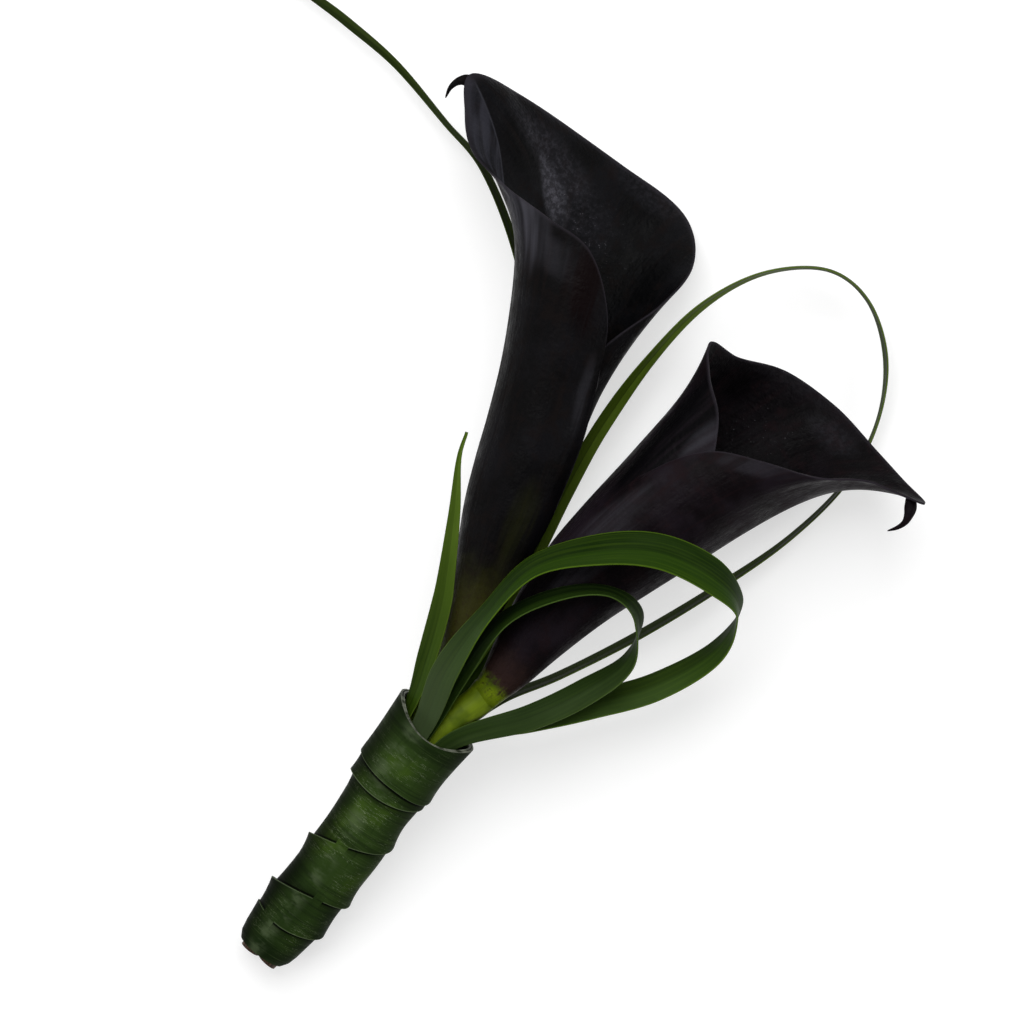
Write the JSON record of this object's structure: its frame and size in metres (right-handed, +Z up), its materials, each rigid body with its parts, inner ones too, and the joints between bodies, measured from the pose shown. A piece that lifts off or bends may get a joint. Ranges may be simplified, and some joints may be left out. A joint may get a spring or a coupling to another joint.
{
  "type": "calla lily flower bunch",
  "caption": "Dark trumpet-shaped calla lilies on green stems, bound with looped grass blades by a leaf wrap round the stems; a small bunch that lies flat for show or to be worn",
  "frame": {"origin": "on the surface the bunch lies on, under the lower end of the wrapped handle", "axes": "+Y runs along the handle towards the blooms, +X is to the right of the handle seen from above, +Z is up off the surface"},
  "size_m": [0.1504, 0.1568, 0.0341],
  "materials": {
    "wrap_leaf": null,
    "spathe_violet_black": null,
    "spathe_purple_black": null,
    "grass_blade": null,
    "stem": null,
    "spadix": null
  },
  "bodies": {
    "root": {"leaf_wrap": "wrap_leaf", "spathe_1": "spathe_violet_black", "spathe_2": "spathe_purple_black", "blade_short": "grass_blade", "blade_arched": "grass_blade", "blade_loop_large": "grass_blade", "blade_loop_middle": "grass_blade", "blade_loop_small": "grass_blade", "stem_1": "stem", "stem_2": "stem", "spadix_1": "spadix", "spadix_2": "spadix"}
  },
  "joints": []
}
